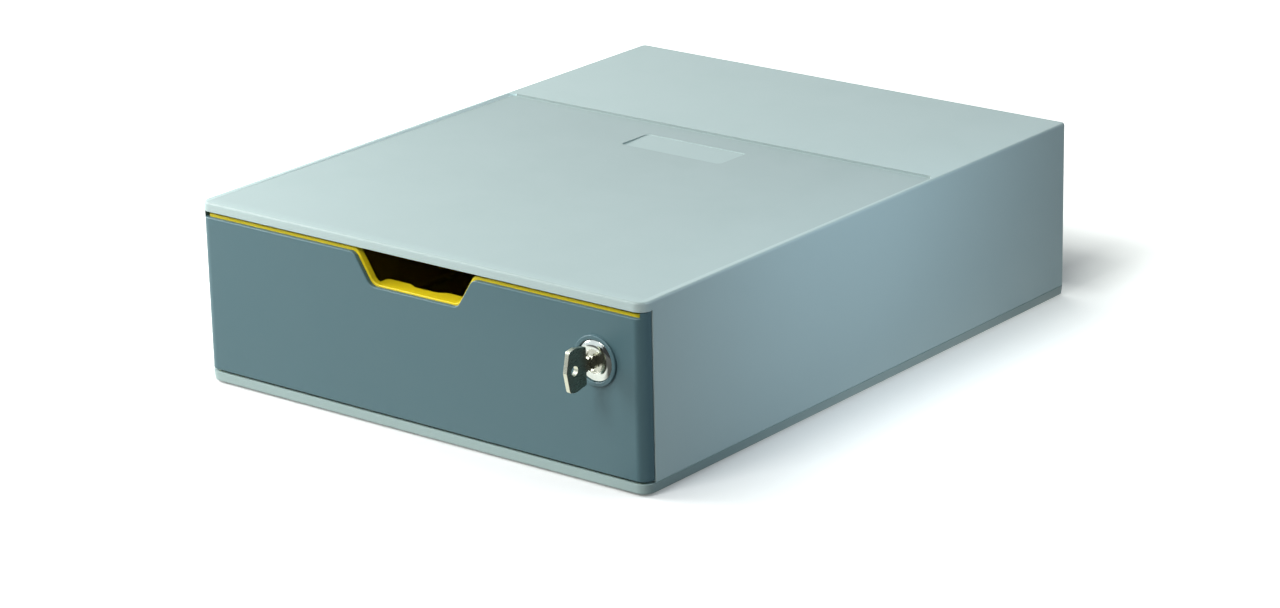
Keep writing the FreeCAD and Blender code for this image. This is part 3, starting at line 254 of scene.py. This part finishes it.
def base_painted_shade(tree, where, tone, colour):
    """Painted shade: the sides of the base are darker than its front and rear."""
    sideways = math_node(tree, "ABSOLUTE", face_direction(tree)[0])
    return mixed(tree, remap(tree, sideways, 0.5, 0.95, 0.0, 0.8), tone, shade(colour, BASE_SIDE_PAINTED_SHADE))


# ---------------------------------------------------------------- materials

LIGHT_GREY = linear(201, 222, 219)
BASE_GREY = linear(184, 208, 204)
SLATE = linear(90, 123, 130)
YELLOW = linear(255, 226, 30)
RUBBER_BLACK = grey(0.02)
STEEL = (0.55, 0.55, 0.56, 1.0)
CHROME = (0.74, 0.77, 0.72, 1.0)
PLUG_METAL = (0.62, 0.62, 0.54, 1.0)
BRASS = (0.7, 0.53, 0.24, 1.0)
KEY_METAL = (0.36, 0.36, 0.29, 1.0)

RUBBED_AND_HIGHLIGHT_WIDTH = 0.5 * MM
RUBBED_AND_HIGHLIGHT_SHARE = 0.05
SPECK_SHARE = 0.04
PLASTIC_ROUNDING = 0.3 * MM
METAL_ROUNDING = 0.12 * MM
RUBBER_GRAIN = 0.02 * MM


def moulded_plastic(name, colour, roughness, grain_depth, painted_light_and_shade_finish=None):
    """Injection-moulded plastic: spark-eroded grain, faint flow marks, edges lighter partly by wear and
    partly by a painted highlight.
    """
    material, tree, shader = new_material(name)
    where = own_place(tree)
    flow = noise(tree, where, per_metre=14, detail=3)
    grain = noise(tree, where, per_metre=1500, detail=3, roughness=0.6)
    smudge = noise(tree, where, per_metre=38, detail=4, roughness=0.65)
    tone = mixed(tree, flow, shade(colour, 0.98), shade(colour, 1.02))
    specked = mixed(tree, SPECK_SHARE, tone, shade(colour, 0.8))
    tone = mixed(tree, remap(tree, grain, 0.35, 0.65), specked, tone)
    # Painted light and shade, where a finish has it
    if painted_light_and_shade_finish:
        tone = painted_light_and_shade_finish(tree, where, tone, colour)
    # Edges lighter: partly real wear, partly a painted highlight
    rubbed_and_highlight = product(tree, edge_mask(tree, RUBBED_AND_HIGHLIGHT_WIDTH), RUBBED_AND_HIGHLIGHT_SHARE)
    tone = mixed(tree, rubbed_and_highlight, tone, shade(colour, 1.25))
    tree.links.new(tone, shader.inputs["Base Color"])
    gloss = remap(tree, smudge, 0.4, 0.7, roughness - 0.03, roughness + 0.05)
    tree.links.new(gloss, shader.inputs["Roughness"])
    grained(tree, shader, 0.6, grain_depth, grain, PLASTIC_ROUNDING)
    return material


def metal(name, colour, roughness, scratch_depth=0.004 * MM, stretch=(1, 1, 1), cut_edges=1.0):
    """Plated or stamped metal with fine scratches.

    What doesn't look sideways is a cut edge of an upright sheet, and that many times as bright.
    """
    material, tree, shader = new_material(name)
    where = own_place(tree)
    drawn = add(tree, "ShaderNodeMapping", {"Vector": where, "Scale": stretch}).outputs[0]
    scratch = noise(tree, drawn, per_metre=900, detail=4, roughness=0.7)
    stain = noise(tree, where, per_metre=160, detail=3, roughness=0.6)
    stained = remap(tree, stain, 0.35, 0.7)
    face_tone, edge_tone = (mixed(tree, stained, shade(colour, 0.9 * bright), shade(colour, 1.05 * bright))
                            for bright in (1.0, cut_edges))
    looks = parts_of(tree, add(tree, "ShaderNodeTexCoord").outputs["Normal"])
    cut = remap(tree, math_node(tree, "ABSOLUTE", looks[0]), 0.5, 0.9, 1.0, 0.0)
    tree.links.new(mixed(tree, cut, face_tone, edge_tone), shader.inputs["Base Color"])
    shader.inputs["Metallic"].default_value = 1.0
    tree.links.new(remap(tree, scratch, 0.3, 0.7, roughness, roughness + 0.06), shader.inputs["Roughness"])
    grained(tree, shader, 0.5, scratch_depth, scratch, METAL_ROUNDING)
    return material


def rubber(name, colour):
    """Matt black rubber with a coarse grain and a little dust."""
    material, tree, shader = new_material(name)
    where = own_place(tree)
    dust = noise(tree, where, per_metre=300, detail=4, roughness=0.7)
    grain = noise(tree, where, per_metre=2500)
    tone = mixed(tree, remap(tree, dust, 0.5, 0.8, 0.0, 0.3), colour, shade(colour, 3))
    tree.links.new(tone, shader.inputs["Base Color"])
    tree.links.new(remap(tree, dust, 0.3, 0.7, 0.75, 0.9), shader.inputs["Roughness"])
    grained(tree, shader, 0.5, RUBBER_GRAIN, grain)
    return material


finishes = {
    "housing_plastic": moulded_plastic("housing_plastic", LIGHT_GREY, 0.5, 0.02 * MM, roof_painted_light_and_shade),
    "base_plastic": moulded_plastic("base_plastic", BASE_GREY, 0.45, 0.02 * MM, base_painted_shade),
    "tray_plastic": moulded_plastic("tray_plastic", YELLOW, 0.38, 0.01 * MM),
    "front_plastic": moulded_plastic("front_plastic", SLATE, 0.42, 0.02 * MM),
    "foot_rubber": rubber("foot_rubber", RUBBER_BLACK),
    "screw_steel": metal("screw_steel", STEEL, 0.3),
    "lock_chrome": metal("lock_chrome", CHROME, 0.07, 0.001 * MM),
    "cylinder_metal": metal("cylinder_metal", PLUG_METAL, 0.2),
    "wafer_brass": metal("wafer_brass", BRASS, 0.3),
    "key_metal": metal("key_metal", KEY_METAL, 0.25, 0.003 * MM, stretch=(1, 0.15, 1), cut_edges=2.0),
}


def dress_nodes():
    """Give every carried-over node the finish of its material slot."""
    for part in frame["record"]["subparts"]:
        obj = frame["nodes"][part["node"]]
        for slot in obj.material_slots:
            slot.material = finishes[part["material_slot"]]


# ---------------------------------------------------------------- studio: metres, watts and degrees

CAMERA_PLACE = Vector((1194.4, -1483.8, 671.5)) * MM
CAMERA_AZIMUTH = 38.724
CAMERA_ELEVATION = 18.855
CAMERA_ROLL = -1.318
CAMERA_LENS = 110.65                 # millimetres, as the sensor's width
SENSOR_WIDTH = 36.0

BOX_MIDDLE = (0, 0, 0.05)
RIGHT_SIDE = (0.14, 0.0, 0.06)
COLD_BLUE = (0.76, 0.93, 1.1)
ALL_ROUND = 180
NARROWED = 148

FLOOR_SIZE = 16.0
FLOOR_TINT = (0.96, 1.0, 0.96, 1.0)
FLOOR_LEVEL = 0.8
SHADOW_LEVEL = 0.26
SHADOW_REACH = 0.08
REAR_SHADOW_DEPTH = 0.5
REAR_SHADOW_GROWS = 0.02             # metres behind the part
REAR_SHADOW_FADES = 0.06
REAR_SHADOW_ENDS = 0.12
MIRRORED_NEAR = 1.15
MIRRORED_FAR = 0.1
RIGHTWARD = (1.0, -0.2, 0.0)
FRONTWARD = (0.6, -0.8, 0.0)

SKY_TINT = (0.92, 1.0, 1.06, 1)
LEFT_AND_UP = (-0.9, 0.18, 0.4)


def camera():
    """A long lens in front, at the right and a little above, rolled a little."""
    data = bpy.data.cameras.new("camera")
    data.sensor_width = SENSOR_WIDTH
    data.lens = CAMERA_LENS
    data.clip_start = 0.05
    data.clip_end = 60.0
    obj = bpy.data.objects.new("camera", data)
    bpy.context.collection.objects.link(obj)
    azimuth, elevation = math.radians(CAMERA_AZIMUTH), math.radians(CAMERA_ELEVATION)
    sight = Vector((-math.sin(azimuth) * math.cos(elevation), math.cos(azimuth) * math.cos(elevation),
                    -math.sin(elevation)))
    turn = sight.to_track_quat("-Z", "Y").to_matrix().to_4x4()
    roll = Matrix.Rotation(math.radians(CAMERA_ROLL), 4, "Z")
    obj.matrix_world = Matrix.Translation(CAMERA_PLACE) @ turn @ roll
    bpy.context.scene.camera = obj


def area_light(name, place, aim, side, power, colour=(1, 1, 1), spread=ALL_ROUND):
    """A square soft box that points at a place and isn't seen itself."""
    data = bpy.data.lights.new(name, "AREA")
    data.shape = "SQUARE"
    data.size = side
    data.energy = power
    data.color = colour
    data.spread = math.radians(spread)
    obj = bpy.data.objects.new(name, data)
    bpy.context.collection.objects.link(obj)
    obj.location = place
    obj.rotation_mode = "QUATERNION"
    obj.rotation_quaternion = (Vector(aim) - Vector(place)).to_track_quat("-Z", "Y")
    obj.visible_camera = False


def lights():
    """A soft box in front and above, one from the left and a small narrow one at the right side."""
    area_light("key_light", (-0.1, -1.4, 1.3), BOX_MIDDLE, side=0.7, power=17)
    area_light("left_light", (-0.92, -0.42, 0.57), BOX_MIDDLE, side=0.65, power=12.6)
    area_light("side_light", (0.38, 0.0, 0.17), RIGHT_SIDE, side=0.14, power=0.222,
               colour=COLD_BLUE, spread=NARROWED)


def floor_seen(tree, where):
    """The floor's glow for the camera: white, with a painted soft shadow round the part and behind it."""
    across, along = parts_of(tree, where)[:2]
    openness = add(tree, "ShaderNodeAmbientOcclusion", {"Distance": SHADOW_REACH}, samples=8).outputs["AO"]
    away = add(tree, "ShaderNodeVectorMath", {0: where}, operation="LENGTH").outputs["Value"]
    near = remap(tree, openness, 0.6, 1.0, SHADOW_LEVEL, FLOOR_LEVEL)
    far = remap(tree, away, 0.7, 2.5, 0.0, 0.35)
    # Painted shade and light on the floor: darker towards the front, lighter towards the rear
    rise = remap(tree, along, -0.12, 0.15, -0.06, 0.12)
    begins = remap(tree, along, REAR_Y, REAR_Y + REAR_SHADOW_GROWS)
    ends = remap(tree, along, REAR_Y + REAR_SHADOW_FADES, REAR_Y + REAR_SHADOW_ENDS, 1.0, 0.0)
    beside = remap(tree, math_node(tree, "ABSOLUTE", across), 0.115, 0.16, REAR_SHADOW_DEPTH, 0.0)
    behind = product(tree, product(tree, begins, ends), beside)
    light = math_node(tree, "ADD", math_node(tree, "ADD", near, far), rise)
    return math_node(tree, "MAXIMUM", math_node(tree, "SUBTRACT", light, behind), 0.0)


def floor_mirrored(tree, where):
    """The floor's glow in reflections: bright near the part and on its left, dark right and in front."""
    right = remap(tree, reach(tree, where, RIGHTWARD), 0.14, 0.165, MIRRORED_NEAR, MIRRORED_FAR)
    front = remap(tree, reach(tree, where, FRONTWARD), 0.26, 0.3, MIRRORED_NEAR, MIRRORED_FAR)
    return math_node(tree, "MINIMUM", right, front)


def floor():
    """A wide pale floor that glows by itself, one way for the camera and another in reflections."""
    half = FLOOR_SIZE / 2
    corners = [(-half, -half, 0), (half, -half, 0), (half, half, 0), (-half, half, 0)]
    mesh = bpy.data.meshes.new("floor")
    mesh.from_pydata(corners, [], [(0, 1, 2, 3)])
    obj = bpy.data.objects.new("floor", mesh)
    bpy.context.collection.objects.link(obj)
    material, tree, shader = new_material("floor_white")
    path = add(tree, "ShaderNodeLightPath")
    seen, glossy = path.outputs["Is Camera Ray"], path.outputs["Is Glossy Ray"]
    unseen = mixed(tree, glossy, grey(0.35), grey(0.02))
    tree.links.new(mixed(tree, seen, unseen, grey(0.8)), shader.inputs["Base Color"])
    shader.inputs["Roughness"].default_value = 0.9
    shader.inputs["Specular IOR Level"].default_value = 0.1
    where = own_place(tree)
    strength = math_node(tree, "ADD", product(tree, floor_seen(tree, where), seen),
                         product(tree, floor_mirrored(tree, where), glossy))
    glow = add(tree, "ShaderNodeEmission", {"Color": FLOOR_TINT, "Strength": strength})
    both = add(tree, "ShaderNodeAddShader", {0: shader.outputs[0], 1: glow.outputs[0]})
    tree.links.new(both.outputs[0], tree.nodes["Material Output"].inputs["Surface"])
    mesh.materials.append(material)


def world():
    """A weak sky for surfaces, white for the camera and, in reflections, dark on the right."""
    sky = bpy.data.worlds.new("studio")
    bpy.context.scene.world = sky
    sky.use_nodes = True
    tree = sky.node_tree
    back = tree.nodes["Background"]
    path = add(tree, "ShaderNodeLightPath")
    seen = path.outputs["Is Camera Ray"]
    tree.links.new(mixed(tree, seen, SKY_TINT, grey(1)), back.inputs["Color"])
    leftward = reach(tree, add(tree, "ShaderNodeTexCoord").outputs["Generated"], LEFT_AND_UP)
    mirrored = remap(tree, leftward, 0.06, 0.2, 0.05, 1.0)
    diffuse = remap(tree, leftward, -0.5, 0.2, 0.02, 0.12)
    strength = mixed_value(tree, seen, diffuse, 1.0)
    glossy = math_node(tree, "MAXIMUM", path.outputs["Is Glossy Ray"], path.outputs["Is Transmission Ray"])
    tree.links.new(mixed_value(tree, glossy, strength, mirrored), back.inputs["Strength"])


# ---------------------------------------------------------------- the whole scene

dress_nodes()
camera()
floor()
world()
lights()
bpy.context.scene.view_settings.view_transform = "Standard"
